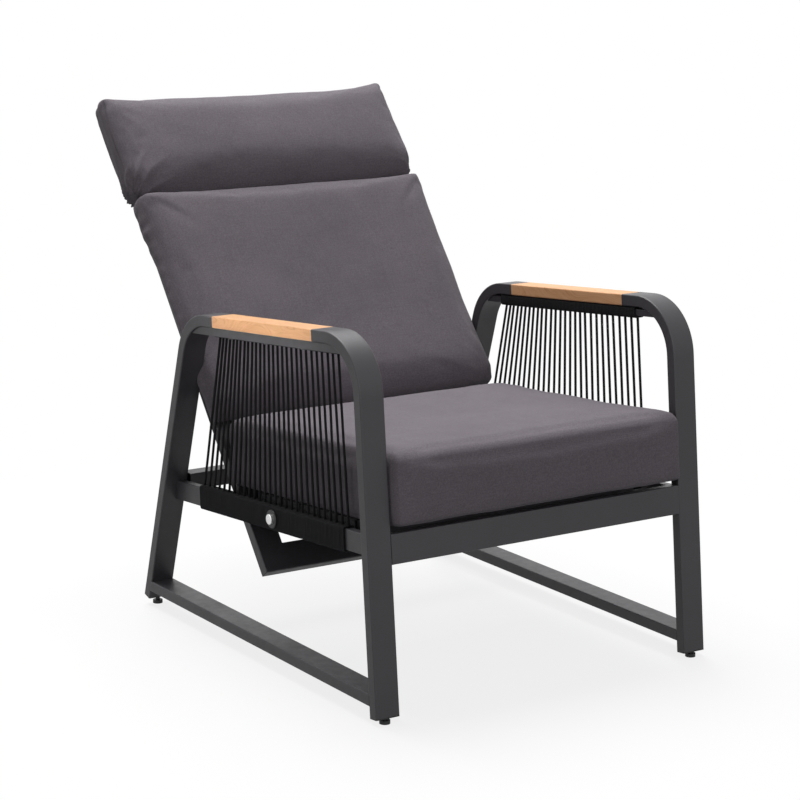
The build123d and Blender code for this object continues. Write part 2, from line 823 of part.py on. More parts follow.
def linkage_ratios():
    """Constant ratios of the spring's swing and stroke to the back's turn, and the error."""
    steps = 24
    lengths = []
    angles = []
    for i in range(steps + 1):
        turn = Rot(back_travel * i / steps, 0, 0)
        # Upright turns the back forward about the pivot
        arm = turn * Pos(back_pin - pivot)
        point = pivot + arm.position
        run = point - spring_anchor
        lengths.append(run.length)
        angles.append(math.degrees(math.atan2(run.Z, run.Y)))
    swing = (angles[-1] - angles[0]) / back_travel
    stroke = (lengths[-1] - lengths[0]) / back_travel
    return swing, stroke, lengths, angles


# Release button, on the sitter's right; its axis runs along x
button_point = deck_plane.from_local_coords((0, button_place, -side_rail_height / 2))
wrap_face = rope_x + wrap_half


def button_bar(x_low, x_high, radius):
    """A round bar on the button's axis, between two distances from the middle."""
    y, z = button_point.Y, button_point.Z
    return rod_between((-x_high, y, z), (-x_low, y, z), radius)


def make_button_housing():
    """Barrel through the rail's outer wall, with the bezel on the winding."""
    face = wrap_face + soft_gap + bezel_thickness
    floor = wrap_face - housing_depth
    bezel = button_bar(wrap_face + soft_gap, face, bezel_radius)
    rim = bezel.edges().filter_by(GeomType.CIRCLE).sort_by(Axis.X)[0]
    bezel = fillet(rim, bezel_thickness / 2)
    barrel = button_bar(floor, face - bezel_thickness / 2, housing_radius)
    bore = button_bar(floor + housing_floor, face + overrun, button_radius + slip)
    stem_hole = button_bar(floor - overrun, floor + overrun, button_stem_radius + slip)
    return bezel + barrel - bore - stem_hole


def make_button():
    """Push button and its stem."""
    face = wrap_face + soft_gap + bezel_thickness + button_travel + button_left_proud
    cap = button_bar(face - button_length, face, button_radius)
    rim = cap.edges().filter_by(GeomType.CIRCLE).sort_by(Axis.X)[0]
    cap = fillet(rim, button_edge)
    stem_end = face - button_length - button_stem_length
    return cap + button_bar(stem_end, face - button_length, button_stem_radius)


def cut_for_button(rail, panel):
    """Holes of the button's housing in the rail and in the winding on it."""
    rail_hole = button_bar(side_rail_inner + side_rail_wall, wrap_face, housing_radius + slip)
    wrap_hole = button_bar(side_rail_outer, wrap_face + overrun, housing_radius + soft_gap)
    return rail - rail_hole, main_solid(panel - wrap_hole)


def pad_section(plane, half, low, high, crown, radius):
    """Section of a cushion: flat underneath, bulging sides and a crowned, rounded top."""
    middle = (low + high) / 2
    outline = [
        Line((-half, low), (half, low)),
        ThreePointArc((half, low), (half + cushion_bulge, middle), (half, high)),
        ThreePointArc((half, high), (0, high + crown), (-half, high)),
        ThreePointArc((-half, high), (-half - cushion_bulge, middle), (-half, low)),
    ]
    face = make_face(Curve() + outline)
    top_corners = face.vertices().sort_by(Axis.Y)[-2:]
    return plane * fillet(top_corners, radius)


def padded(plane_at, span, half_at, low, high_at, crown, radius, shares, root_share=0):
    """A cushion through sections that get thinner and narrower towards its ends."""
    start, end = span
    place_shares, depth_shares = shares
    sections = []
    for place, share in zip(place_shares, depth_shares):
        along = start + (end - start) * place
        lost = share - max(depth_shares)
        half = half_at(place) + cushion_end_draw * lost
        depth = high_at(place) - low
        floor = low - depth * lost * root_share
        top = floor + depth * share
        plane = plane_at(along)
        sections.append(pad_section(plane, half, floor, top, crown * share, radius * share))
    return loft(sections, ruled=True)


def make_seat_cushion():
    """Seat pad on the straps; its rear face leaves room for the upright back."""
    lift = seat_frame_rise + strap_thickness + seat_cushion_gap

    def plane_at(along):
        origin = deck_plane.from_local_coords((0, along, lift))
        return Plane(origin=origin, x_dir=(-1, 0, 0), z_dir=deck_plane.y_dir)

    upright_sin, upright_cos = unit(back_tilt - back_travel)
    rear = pivot_place + seat_cushion_edge * upright_sin
    pad = padded(
        plane_at,
        (seat_cushion_front, rear),
        lambda place: loop_inner - seat_cushion_side_gap,
        0,
        lambda place: seat_cushion_edge,
        seat_cushion_crown,
        seat_cushion_round,
        (seat_place_shares, seat_depth_shares),
    )
    stop = strap_face + seat_cushion_back_gap
    origin = pivot + Vector(0, -stop * upright_cos, stop * upright_sin)
    rear_plane = Plane(origin=origin, x_dir=(1, 0, 0), z_dir=(0, upright_cos, -upright_sin))
    return main_solid(split(pad, bisect_by=rear_plane, keep=Keep.BOTTOM))


def back_section_plane(along):
    """Plane across the back at a distance up from the pivot, its y axis forward."""
    origin = back_plane.from_local_coords((0, along, 0))
    return Plane(origin=origin, x_dir=(-1, 0, 0), z_dir=back_plane.y_dir)


def make_back_cushion():
    """Back pad, wider above the arms; its lower end rolls under to the seat."""
    rear = strap_face + back_cushion_gap
    return padded(
        back_section_plane,
        (back_cushion_start, back_cushion_end),
        lambda place: back_half_width + back_cushion_widening * place**2,
        rear,
        lambda place: rear + back_cushion_edge,
        back_cushion_crown,
        back_cushion_round,
        (back_place_shares, back_depth_shares),
    )


def make_headrest():
    """Bolster sewn to a hood that slips over the top of the back frame."""
    start = back_cushion_end + headrest_gap
    taper = headrest_high_front - headrest_low_front
    pad = padded(
        back_section_plane,
        (start, headrest_end),
        lambda place: back_half_width + headrest_side_cover,
        -headrest_rear,
        lambda place: headrest_low_front + taper * place,
        headrest_crown,
        headrest_round,
        (headrest_place_shares, headrest_depth_shares),
        headrest_root_share,
    )
    side = back_half_width + soft_gap
    pocket = block(
        (-side, start - overrun, -back_tube_depth / 2 - soft_gap),
        (side, back_above_pivot + soft_gap, strap_face + soft_gap),
    )
    return main_solid(pad - back_plane * pocket)


def build_nodes():
    """Every node of the chair: a list of solids under each name."""
    front_leg = make_front_leg()
    rear_leg = make_rear_leg()
    runner = make_runner()
    arm_rest = make_arm_rest()
    arm_bar = make_arm_bar()
    upper_rail = make_upper_rail()
    side_rail = make_side_rail()
    rope_panel = make_rope_panel()
    stile = make_back_stile()
    right_rail, right_panel = cut_for_button(mirrored(side_rail), mirrored(rope_panel))
    screws = make_arm_screws()
    plugs, glides = make_feet()
    boss = make_pivot_boss()
    bolt = make_pivot_bolt()
    bushes = make_pivot_bushes()
    back_straps, back_clamps = make_back_straps()

    def both(shapes):
        return shapes + [mirrored(shape) for shape in shapes]

    return {
        "front_leg_left": [front_leg],
        "front_leg_right": [mirrored(front_leg)],
        "rear_leg_left": [rear_leg],
        "rear_leg_right": [mirrored(rear_leg)],
        "floor_runner_left": [runner],
        "floor_runner_right": [mirrored(runner)],
        "arm_rest_left": [arm_rest],
        "arm_rest_right": [mirrored(arm_rest)],
        "arm_bar_left": [arm_bar],
        "arm_bar_right": [mirrored(arm_bar)],
        "arm_screws": both(screws),
        "upper_rope_rail_left": [upper_rail],
        "upper_rope_rail_right": [mirrored(upper_rail)],
        "side_rail_left": [side_rail],
        "side_rail_right": [right_rail],
        "rope_panel_left": [rope_panel],
        "rope_panel_right": [right_panel],
        "front_rail": [make_front_rail()],
        "rear_rail": [make_rear_rail()],
        "leg_plugs": both(plugs),
        "floor_glides": both(glides),
        "front_crossbar": [make_crossbar(front_crossbar_place)],
        "rear_crossbar": [make_crossbar(rear_crossbar_place)],
        "seat_frame": [make_seat_frame()],
        "seat_straps": make_seat_straps(),
        "seat_cushion": [make_seat_cushion()],
        "pivot_bosses": both([boss]),
        "pivot_bolts": both([bolt]),
        "spring_bracket_front": make_front_bracket(),
        "spring_pin_front": [make_pin(spring_anchor)],
        "button_housing": [make_button_housing()],
        "back_stile_left": [stile],
        "back_stile_right": [mirrored(stile)],
        "back_top_tube": [make_back_cross_tube(True)],
        "back_bottom_tube": [make_back_cross_tube(False)],
        "back_straps": back_straps,
        "back_strap_clamps": back_clamps,
        "pivot_bushes": both(bushes),
        "spring_bracket_rear": make_back_bracket(),
        "spring_pin_rear": [make_pin(back_pin)],
        "back_cushion": [make_back_cushion()],
        "headrest": [make_headrest()],
        "gas_spring_cylinder": [make_spring_cylinder()],
        "gas_spring_rod": [make_spring_rod()],
        "release_button": [make_button()],
    }


def main():
    nodes = build_nodes()
    solids = [solid for shapes in nodes.values() for shape in shapes for solid in shape.solids()]
    box = Compound(children=[Solid(solid.wrapped) for solid in solids]).bounding_box()
    centre = box.center()
    shift = Vector(-centre.X, -centre.Y, -box.min.Z)
    os.makedirs("parts", exist_ok=True)
    for name, shapes in nodes.items():
        moved = [Pos(shift) * solid for shape in shapes for solid in shape.solids()]
        whole = moved[0] if len(moved) == 1 else Compound(children=moved)
        export_step(whole, f"parts/{name}.step")
    print("size", box.size, "shift", shift)
    print("pivot", pivot + shift)
    print("spring anchor", spring_anchor + shift, "back pin", back_pin + shift)
    print("spring direction", spring_plane.z_dir, "length", spring_length)
    print("button", button_point + shift)
    swing, stroke, lengths, angles = linkage_ratios()
    print("swing ratio", swing, "stroke per degree", stroke)
    print("lengths", lengths[0], lengths[-1], "angles", angles[0], angles[-1])


main()
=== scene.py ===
import json
import math

import bmesh
import bpy
import numpy as np
from mathutils import Matrix, Vector, noise


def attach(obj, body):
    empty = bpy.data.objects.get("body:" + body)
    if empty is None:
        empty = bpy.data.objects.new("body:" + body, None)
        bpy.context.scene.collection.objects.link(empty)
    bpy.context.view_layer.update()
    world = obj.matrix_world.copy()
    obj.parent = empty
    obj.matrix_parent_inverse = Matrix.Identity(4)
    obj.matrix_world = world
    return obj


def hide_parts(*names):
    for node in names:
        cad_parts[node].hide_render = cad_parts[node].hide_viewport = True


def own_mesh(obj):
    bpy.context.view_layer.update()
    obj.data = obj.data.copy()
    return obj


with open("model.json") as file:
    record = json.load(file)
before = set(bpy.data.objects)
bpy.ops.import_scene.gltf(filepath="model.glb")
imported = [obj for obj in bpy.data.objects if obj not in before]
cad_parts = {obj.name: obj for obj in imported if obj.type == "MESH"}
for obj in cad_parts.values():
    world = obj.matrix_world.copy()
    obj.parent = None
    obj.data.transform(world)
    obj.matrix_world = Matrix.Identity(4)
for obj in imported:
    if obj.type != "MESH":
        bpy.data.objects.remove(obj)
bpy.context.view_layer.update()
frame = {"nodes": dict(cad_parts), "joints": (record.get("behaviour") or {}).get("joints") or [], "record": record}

scene = bpy.context.scene
scene.view_settings.view_transform = "Standard"
nodes = frame["nodes"]
joints = {joint["name"]: joint for joint in frame["joints"]}

# Driving sizes in metres and degrees, in a drawing frame that has y = 0 at the front toe
LOOP_DEPTH = 0.020
FRONT_END_HEIGHT = 0.0117
CORNER_HEIGHT = 0.6144
DECK_TOE_HEIGHT = 0.3024
FRONT_LEG_LEAN = 5.85
ARM_SLOPE = 5.36
DECK_SLOPE = 4.3
BACK_TILT = 37.5
PIVOT_Y = 0.520216

# A place's y in the row's frame is its y in the drawing frame plus this shift
PIVOT = Vector(joints["back_recline"]["pos_m"])
SHIFT_Y = PIVOT.y - PIVOT_Y


def row(x, y, z):
    return Vector((x, y + SHIFT_Y, z))


class Axes:
    """A plane's own axes: across, along and out."""

    def __init__(self, origin, along, out):
        self.origin = Vector(origin)
        self.across = Vector((1, 0, 0))
        self.along = Vector(along)
        self.out = Vector(out)

    def point(self, x, s, n):
        return self.origin + self.across * x + self.along * s + self.out * n

    def matrix(self):
        turn = Matrix((self.across, self.along, self.out)).transposed().to_4x4()
        return Matrix.Translation(self.origin) @ turn


def sine_cosine(degrees):
    return math.sin(math.radians(degrees)), math.cos(math.radians(degrees))


lean_s, lean_c = sine_cosine(FRONT_LEG_LEAN)
arm_s, arm_c = sine_cosine(ARM_SLOPE)
deck_s, deck_c = sine_cosine(DECK_SLOPE)
tilt_s, tilt_c = sine_cosine(BACK_TILT)
corner_y = LOOP_DEPTH / 2 + (CORNER_HEIGHT - FRONT_END_HEIGHT) * lean_s / lean_c
# Arm: along the arm to the rear, and down through it
ARM = Axes(row(0, corner_y, CORNER_HEIGHT), (0, arm_c, -arm_s), (0, -arm_s, -arm_c))
# Deck: along the side rails to the rear, and up
DECK = Axes(row(0, 0, DECK_TOE_HEIGHT), (0, deck_c, -deck_s), (0, deck_s, deck_c))
# Back: from the pivot up the back, and forward out of it
BACK = Axes(PIVOT, (0, tilt_s, tilt_c), (0, -tilt_c, tilt_s))


# Camera, solved from the photograph's side frames: angles in radians, lens and sensor in mm
CAMERA_AZIMUTH = -0.58631602
CAMERA_ELEVATION = 0.21692776
CAMERA_ROLL = 0.0077897
CAMERA_LENS = 109.69
CAMERA_SENSOR = 36.0
CAMERA_PLACE = row(-2.3461, -3.0809, 1.3445)


def make_camera():
    level = math.cos(CAMERA_ELEVATION)
    back = Vector((
        math.sin(CAMERA_AZIMUTH) * level,
        -math.cos(CAMERA_AZIMUTH) * level,
        math.sin(CAMERA_ELEVATION),
    ))
    side = (-back).cross(Vector((0, 0, 1))).normalized()
    top = side.cross(-back)
    right = math.cos(CAMERA_ROLL) * side + math.sin(CAMERA_ROLL) * top
    up = -math.sin(CAMERA_ROLL) * side + math.cos(CAMERA_ROLL) * top
    data = bpy.data.cameras.new("camera")
    data.lens = CAMERA_LENS
    data.sensor_width = CAMERA_SENSOR
    camera = bpy.data.objects.new("camera", data)
    scene.collection.objects.link(camera)
    matrix = Matrix((right, up, back)).transposed().to_4x4()
    matrix.translation = CAMERA_PLACE
    camera.matrix_world = matrix
    scene.camera = camera


make_camera()


# Materials

# Most values of a noise texture lie between these two
NOISE_LOW = 0.3
NOISE_HIGH = 0.7
# A Mix node's two colours and its result, by number, because its sockets share their names
MIX_FIRST = 6
MIX_SECOND = 7
MIX_RESULT = 2


class Shader:
    """A Principled material built node by node."""

    def __init__(self, name, colour, roughness, **sockets):
        self.material = bpy.data.materials.new(name)
        self.material.use_nodes = True
        self.tree = self.material.node_tree
        self.bsdf = self.tree.nodes["Principled BSDF"]
        self.bsdf.inputs["Base Color"].default_value = (*colour, 1)
        self.bsdf.inputs["Roughness"].default_value = roughness
        for socket, value in sockets.items():
            self.bsdf.inputs[socket.replace("_", " ")].default_value = value

    def link(self, source, target):
        self.tree.links.new(source, target)

    def node(self, kind, inputs=None, **settings):
        made = self.tree.nodes.new("ShaderNode" + kind)
        for key, value in settings.items():
            setattr(made, key, value)
        for key, value in (inputs or {}).items():
            if isinstance(value, bpy.types.NodeSocket):
                self.link(value, made.inputs[key])
            else:
                made.inputs[key].default_value = value
        return made

    def math(self, operation, a, b=0.0):
        return self.node("Math", {0: a, 1: b}, operation=operation).outputs[0]

    def weighted(self, *terms):
        """Sum of sockets, each times its share."""
        total = None
        for socket, share in terms:
            term = self.math("MULTIPLY", socket, share)
            total = term if total is None else self.math("ADD", total, term)
        return total

    def place(self, scale=(1, 1, 1), source=None):
        """Object coordinates, or an attribute's, scaled."""
        if source is None:
            vector = self.node("TexCoord").outputs["Object"]
        else:
            vector = self.node("Attribute", attribute_name=source).outputs["Vector"]
        return self.node("Mapping", {"Vector": vector, "Scale": scale}).outputs[0]

    def noise(self, vector, scale, detail=2.0, rough=0.5):
        made = self.node(
            "TexNoise", {"Vector": vector, "Scale": scale, "Detail": detail, "Roughness": rough}
        )
        return made.outputs["Fac"]

    def ramp(self, value, stops):
        made = self.node("ValToRGB", {"Fac": value})
        ramp = made.color_ramp
        for place, colour in stops[1:-1]:
            ramp.elements.new(place)
        for element, (place, colour) in zip(ramp.elements, stops):
            element.position = place
            element.color = (*colour, 1)
        return made.outputs["Color"]

    def spread(self, value, low, high, out_low, out_high):
        """A value's stretch from low to high, brought to out_low and out_high."""
        made = self.node("MapRange", {0: value, 1: low, 2: high, 3: out_low, 4: out_high})
        return made.outputs[0]

    def mix_colour(self, factor, first, second, blend):
        """A colour socket blended with a plain colour."""
        made = self.node("Mix", {"Factor": factor}, data_type="RGBA", blend_type=blend)
        self.link(first, made.inputs[MIX_FIRST])
        made.inputs[MIX_SECOND].default_value = (*second, 1)
        return made.outputs[MIX_RESULT]

    def bump(self, height, distance, strength, edge=0.0):
        inputs = {"Height": height, "Distance": distance, "Strength": strength}
        if edge:
            inputs["Normal"] = self.node("Bevel", {"Radius": edge}, samples=4).outputs[0]
        made = self.node("Bump", inputs)
        self.link(made.outputs[0], self.bsdf.inputs["Normal"])

    def colour(self, source):
        self.link(source, self.bsdf.inputs["Base Color"])

    def drifting_colour(self, value, base, dark, light):
        """The base colour, from dark to light times itself as a noise goes up."""
        stops = [(NOISE_LOW, shade(base, dark)), (NOISE_HIGH, shade(base, light))]
        self.colour(self.ramp(value, stops))

    def drifting_roughness(self, value, low, high):
        source = self.spread(value, NOISE_LOW, NOISE_HIGH, low, high)
        self.link(source, self.bsdf.inputs["Roughness"])


def shade(rgb, factor):
    return tuple(min(1.0, channel * factor) for channel in rgb)


def make_powder_coat():
    base = (0.053, 0.0505, 0.056)
    made = Shader("powder_coat", base, roughness=0.4, IOR=1.5)
    at = made.place()
    grain = made.noise(at, scale=1500.0, detail=1.0)
    drift = made.noise(at, scale=9.0, detail=3.0)
    cloud = made.noise(at, scale=60.0, detail=4.0)
    made.drifting_colour(drift, base, dark=0.92, light=1.1)
    made.drifting_roughness(cloud, low=0.36, high=0.47)
    made.bump(grain, distance=0.00012, strength=0.35, edge=0.0012)
    return made.material


def make_wood():
    """Oiled wood whose grain runs along y."""
    pale, pore_tone = (0.8, 0.5, 0.27), (0.78, 0.66, 0.52)
    bend_scale, streak_scale = (3, 1.4, 3), (70, 2.2, 70)
    fibre_scale, pore_scale = (900, 14, 900), (1600, 60, 1600)
    made = Shader("oiled_hardwood", pale, roughness=0.5, IOR=1.45)
    at = made.place()
    bend = made.noise(made.place(bend_scale), scale=3.0, detail=2.0)
    grain_at = made.node("VectorMath", {0: at, 1: bend}, operation="ADD").outputs[0]
    streak_at = made.node("Mapping", {"Vector": grain_at, "Scale": streak_scale}).outputs[0]
    streak = made.noise(streak_at, scale=1.0, detail=5.0, rough=0.6)
    fibre = made.noise(made.place(fibre_scale), scale=1.0, detail=3.0, rough=0.7)
    pore = made.noise(made.place(pore_scale), scale=1.0, detail=1.0)
    colour = made.ramp(streak, [
        (0.22, (0.6, 0.29, 0.12)),
        (0.42, (0.82, 0.44, 0.215)),
        (0.58, (0.88, 0.51, 0.27)),
        (0.8, (0.76, 0.39, 0.18)),
    ])
    fibre_share = made.spread(fibre, NOISE_LOW, NOISE_HIGH, out_low=0.0, out_high=0.35)
    made.colour(made.mix_colour(fibre_share, colour, pore_tone, "MULTIPLY"))
    made.drifting_roughness(streak, low=0.42, high=0.58)
    height = made.weighted((fibre, 0.6), (pore, 0.4))
    made.bump(height, distance=0.0002, strength=0.45, edge=0.0015)
    return made.material


def make_rope():
    """Braided rope: two sets of strands cross at a slant, from the rope's own u and v."""
    base = (0.011, 0.011, 0.0125)
    strands, slant, fuzz_share = 4.0, 1.3, 0.35
    made = Shader(
        "black_braid", base, roughness=0.7, Sheen_Weight=0.03, Specular_IOR_Level=0.15
    )
    uv = made.node("UVMap", uv_map="rope").outputs[0]
    split = made.node("SeparateXYZ", {0: uv})
    u, v = split.outputs[0], split.outputs[1]
    turns = made.math("MULTIPLY", v, strands)
    first = made.math("ADD", made.math("MULTIPLY", u, slant), turns)
    second = made.math("SUBTRACT", made.math("MULTIPLY", u, slant), turns)
    waves = []
    for value in (first, second):
        ridge = made.math("ABSOLUTE", made.math("SINE", made.math("MULTIPLY", value, math.pi)))
        waves.append(ridge)
    braid = made.math("MULTIPLY", waves[0], waves[1])
    fuzz = made.noise(made.place(), scale=2600.0, detail=2.0)
    # Painted shade in the braid's grooves and painted highlight on its crests: the colour follows the strands'
    # relief
    made.colour(made.ramp(braid, [(0.0, shade(base, 0.45)), (0.5, shade(base, 1.25))]))
    height = made.math("ADD", braid, made.math("MULTIPLY", fuzz, fuzz_share))
    made.bump(height, distance=0.0005, strength=0.8)
    return made.material


def weave(made, pitch, slub, thin=22, side_share=0.6):
    """Height of a plain weave along the piece's own axes, and a noise drawn out along its yarns."""
    at = made.place(source="weave")
    split = made.node("SeparateXYZ", {0: at})
    turn = math.pi / pitch
    waves = []
    for i in range(3):
        waves.append(made.math("SINE", made.math("MULTIPLY", split.outputs[i], turn)))
    product = made.math("MULTIPLY", waves[0], waves[1])
    other = made.math("MULTIPLY", waves[2], made.math("ADD", waves[0], waves[1]))
    checker = made.math("ADD", product, made.math("MULTIPLY", other, side_share))
    yarns = []
    for scale in ((slub, slub * thin, slub * thin), (slub * thin, slub, slub * thin)):
        yarns.append(made.noise(made.place(scale, "weave"), scale=1.0, detail=2.0, rough=0.6))
    yarn = made.math("MULTIPLY", made.math("ADD", yarns[0], yarns[1]), 0.5)
    return checker, yarn


def make_cushion_fabric():
    base = (0.163, 0.143, 0.164)
    made = Shader(
        "outdoor_weave", base, roughness=0.88, Sheen_Weight=0.1, Sheen_Roughness=0.5, IOR=1.4
    )
    checker, yarn = weave(made, pitch=0.0009, slub=32.0)
    mottle = made.noise(made.place(source="weave"), scale=420.0, detail=2.0, rough=0.6)
    broad = made.noise(made.place(source="weave"), scale=7.0, detail=3.0)
    mixed = made.weighted((yarn, 0.35), (mottle, 0.5), (broad, 0.15))
    tone = made.ramp(mixed, [
        (0.34, shade(base, 0.72)),
        (0.5, base),
        (0.66, shade(base, 1.32)),
    ])
    seam = made.node("Attribute", attribute_name="seam").outputs["Fac"]
    made.colour(made.mix_colour(seam, tone, shade(base, 0.35), "MIX"))
    height = made.weighted((checker, 0.35), (yarn, 0.9), (mottle, 0.5))
    made.bump(height, distance=0.0006, strength=0.55)
    return made.material


def make_webbing():
    base = (0.022, 0.022, 0.025)
    warp_pitch, weft_pitch = 0.0026, 0.0034
    made = Shader("webbing", base, roughness=0.75, Sheen_Weight=0.08)
    split = made.node("SeparateXYZ", {0: made.place()})
    waves = []
    for i, pitch in enumerate((warp_pitch, weft_pitch, weft_pitch)):
        angle = made.math("MULTIPLY", split.outputs[i], math.tau / pitch)
        waves.append(made.math("SINE", angle))
    warp, weft, up = waves
    rib = made.math("MULTIPLY", warp, made.math("ADD", weft, up))
    height = made.spread(rib, low=-1.0, high=1.0, out_low=0.0, out_high=1.0)
    # Painted shade in the weave's valleys and painted highlight on its ridges: the colour follows the rib height
    made.colour(made.ramp(height, [(0.0, shade(base, 0.6)), (1.0, shade(base, 1.5))]))
    made.bump(rib, distance=0.0003, strength=0.7)
    return made.material


def make_plastic(name, base, roughness, texture):
    made = Shader(name, base, roughness, IOR=1.46)
    at = made.place()
    drift = made.noise(at, scale=90.0, detail=3.0)
    grain = made.noise(at, scale=1900.0, detail=2.0)
    made.drifting_colour(drift, base, dark=0.85, light=1.25)
    made.drifting_roughness(drift, low=roughness * 0.85, high=roughness * 1.2)
    made.bump(grain, distance=0.0001, strength=texture, edge=0.0006)
    return made.material


def make_metal(name, base, roughness, brushed, fine=1800):
    """Metal brushed along x; brushed and fine are the brush marks' scales along and across."""
    made = Shader(name, base, roughness, Metallic=1.0)
    lines = made.noise(made.place((brushed, fine, fine)), scale=1.0, detail=2.0)
    drift = made.noise(made.place(), scale=70.0, detail=4.0)
    made.drifting_colour(drift, base, dark=0.88, light=1.06)
    made.drifting_roughness(lines, low=roughness * 0.8, high=roughness * 1.3)
    made.bump(lines, distance=0.00006, strength=0.4, edge=0.0005)
    return made.material


# Finish of each material slot in the record
FINISHES = {
    "frame_paint": make_powder_coat(),
    "arm_wood": make_wood(),
    "rope": make_rope(),
    "cushion_fabric": make_cushion_fabric(),
    "webbing": make_webbing(),
    "black_plastic": make_plastic(
        "moulded_black", (0.018, 0.018, 0.019), roughness=0.5, texture=0.4
    ),
    "bezel_plastic": make_plastic("gloss_black", (0.012, 0.012, 0.013), roughness=0.3, texture=0.1),
    "button_metal": make_metal("brushed_button", (0.86, 0.86, 0.86), roughness=0.3, brushed=30.0),
    "steel": make_metal("black_zinc", (0.13, 0.13, 0.135), roughness=0.5, brushed=500.0),
    "spring_paint": make_plastic("spring_gloss", (0.014, 0.014, 0.015), roughness=0.2, texture=0.1),
    "rod_chrome": make_metal("chrome", (0.82, 0.82, 0.84), roughness=0.08, brushed=900.0),
}

for part in frame["record"]["subparts"]:
    shown = nodes[part["node"]]
    shown.data.materials.clear()
    shown.data.materials.append(FINISHES[part["material_slot"]])


# Mesh helpers
def new_object(name, data):
    made = bpy.data.objects.new(name, data)
    scene.collection.objects.link(made)
    return made


def get_points(target):
    flat = np.empty(len(target.data.vertices) * 3)
    target.data.vertices.foreach_get("co", flat)
    return flat.reshape(-1, 3)


def set_points(target, points):
    target.data.vertices.foreach_set("co", np.asarray(points, float).ravel())
    target.data.update()


def vertex_normals(target):
    flat = np.empty(len(target.data.vertices) * 3)
    target.data.vertex_normals.foreach_get("vector", flat)
    return flat.reshape(-1, 3)


def apply_modifiers(target):
    graph = bpy.context.evaluated_depsgraph_get()
    made = bpy.data.meshes.new_from_object(target.evaluated_get(graph))
    target.modifiers.clear()
    old = target.data
    target.data = made
    bpy.data.meshes.remove(old)


def subdivide(target, levels, kind):
    """Divide every face; kind is SIMPLE for flat faces or CATMULL_CLARK for smooth ones."""
    finer = target.modifiers.new("finer", "SUBSURF")
    finer.subdivision_type = kind
    finer.levels = levels
    finer.render_levels = levels
    apply_modifiers(target)


def tube_mesh(groups, sides):
    """Ropes of given diameters along lists of points, with the braid's u and v in a UV layer."""
    # Any direction that no rope starts in
    first_guess = (0.3, 0.5, 0.81)
    verts = []
    faces = []
    uvs = []
    for path, diameter in [(path, width) for paths, width in groups for path in paths]:
        radius = diameter / 2
        points = np.asarray([tuple(p) for p in path], float)
        count = len(points)
        tangent = np.gradient(points, axis=0)
        tangent /= np.linalg.norm(tangent, axis=1)[:, None]
        normal = np.cross(tangent[0], first_guess)
        normal /= np.linalg.norm(normal)
        run = np.concatenate([[0], np.cumsum(np.linalg.norm(np.diff(points, axis=0), axis=1))])
        base = len(verts)
        for i in range(count):
            normal = normal - tangent[i] * np.dot(normal, tangent[i])
            normal /= np.linalg.norm(normal)
            other = np.cross(tangent[i], normal)
            for k in range(sides):
                turn = math.tau * k / sides
                spoke = math.cos(turn) * normal + math.sin(turn) * other
                verts.append(points[i] + radius * spoke)
        for i in range(count - 1):
            for k in range(sides):
                k2 = (k + 1) % sides
                a, b = base + i * sides, base + (i + 1) * sides
                faces.append((a + k, a + k2, b + k2, b + k))
                u1, u2 = run[i] / diameter, run[i + 1] / diameter
                v1, v2 = k / sides, (k + 1) / sides
                uvs += [(u1, v1), (u1, v2), (u2, v2), (u2, v1)]
        for start, order in ((base, -1), (base + (count - 1) * sides, 1)):
            ring = [start + k for k in range(sides)]
            faces.append(tuple(ring[::order]))
            uvs += [(0, 0)] * sides
    mesh = bpy.data.meshes.new("rope")
    mesh.from_pydata([tuple(v) for v in verts], [], faces)
    layer = mesh.uv_layers.new(name="rope")
    layer.data.foreach_set("uv", np.asarray(uvs, float).ravel())
    mesh.polygons.foreach_set("use_smooth", [True] * len(faces))
    mesh.update()
    return mesh


# Rope side panels

# Diameters of the wound rope and of the upright cords
ROPE = 0.004
CORD = 0.0046
ROPE_SIDES = 8
# The rails: middle and half width across, and low and high face along their plane's out axis
RAIL_X = 0.307
RAIL_HALF = 0.0075
ARM_RAIL = (0.0145, 0.0265)
DECK_RAIL = (-0.035, 0.0)
# Start and end of the winding along each rail
UPPER_BAND = (0.0923, 0.4924)
LOWER_BAND = (0.1348, 0.6198)
# Cords: how many, the end ones' distance from the band's end, the gap at the rear and the points
# along each
ROPE_COUNT = 28
TOP_MARGIN = 0.007
BOTTOM_MARGIN = 0.0025
REAR_GAP = 0.011
CORD_POINTS = 15
# How far a cord's end stands off its rail's face, inside the winding
CORD_SEAT = 0.0015
# The lower winding's noise starts this much further on than the upper one's
LOWER_SEED_STEP = 3


def loop_points(half_w, half_h, corner, per_corner):
    """Points round a rectangle with round corners, from the middle of its lower side."""
    points = [(0.0, -half_h)]
    for cx, cy, start in (
        (half_w - corner, -half_h + corner, -90),
        (half_w - corner, half_h - corner, 0),
        (-half_w + corner, half_h - corner, 90),
        (-half_w + corner, -half_h + corner, 180),
    ):
        for i in range(per_corner + 1):
            turn = math.radians(start + 90 * i / per_corner)
            points.append((cx + corner * math.cos(turn), cy + corner * math.sin(turn)))
    return points


def winding(axes, rail, band, seed):
    """One rope wound round a rail from end to end of its band, along its own helix."""
    gap, extra_round, per_corner = 0.0001, 0.0006, 4
    swell_scale, swell_share = 90, 0.012
    slip_scale, slip_across_scale, slip = 40, 60, 0.0005
    low, high = rail
    start, end = band
    lift = ROPE / 2 + gap
    half_h = (high - low) / 2 + lift
    middle = (high + low) / 2
    ring = loop_points(RAIL_HALF + lift, half_h, lift + extra_round, per_corner)
    steps = len(ring)
    turns = int((end - start) / ROPE)
    pitch = (end - start - ROPE) / turns
    path = []
    for i in range(turns * steps + 1):
        x, z = ring[i % steps]
        along = start + ROPE / 2 + pitch * i / steps
        jitter = noise.noise(Vector((along * swell_scale, seed, 0.0)))
        swell = 1 + swell_share * jitter
        spot = Vector((along * slip_scale, x * slip_across_scale, seed + z * slip_across_scale))
        along += slip * noise.noise(spot)
        path.append(axes.point(RAIL_X + x * swell, along, middle + z * swell))
    return path


